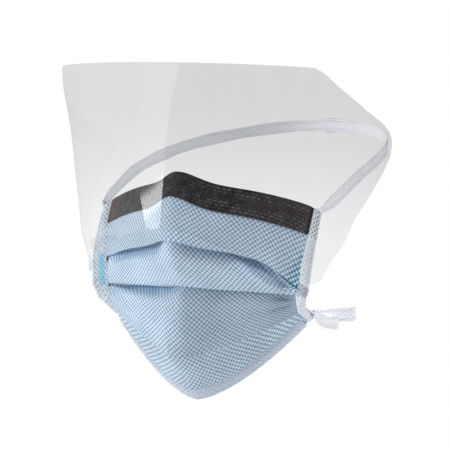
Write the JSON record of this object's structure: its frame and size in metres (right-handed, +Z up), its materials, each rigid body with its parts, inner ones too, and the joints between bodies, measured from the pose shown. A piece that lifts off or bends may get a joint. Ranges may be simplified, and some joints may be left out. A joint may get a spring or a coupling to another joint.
{
  "type": "surgical face mask with eye shield",
  "caption": "Pleated blue tie-on surgical face mask in its worn form, with a charcoal anti-glare strip, white bindings, flat head and neck ties and a clear wraparound eye shield.",
  "frame": {"origin": "middle of the mask's top edge, where it sits on the bridge of the nose", "axes": "+Z up, +Y from the mask towards the wearer's face and the back of the head, +X towards the wearer's left"},
  "size_m": [0.1937, 0.236, 0.1922],
  "materials": {
    "blue_cloth": "dry spunbond nonwoven with a fine blue diagonal net print over white",
    "charcoal_cloth": "matt speckled nonwoven with embossed dashes",
    "white_binding": "thin white nonwoven with rows of pressed dots",
    "white_tie": "soft white nonwoven",
    "clear_film": "clear glossy film"
  },
  "bodies": {
    "root": {"mask_body": "blue_cloth", "glare_strip": "charcoal_cloth", "side_binding_left": "white_binding", "side_binding_right": "white_binding", "bottom_binding": "white_binding", "crown_tie": "white_tie", "crown_knot": "white_tie", "nape_tie": "white_tie", "nape_knot": "white_tie", "nape_bow_left": "white_tie", "nape_bow_right": "white_tie", "visor": "clear_film"}
  },
  "joints": []
}
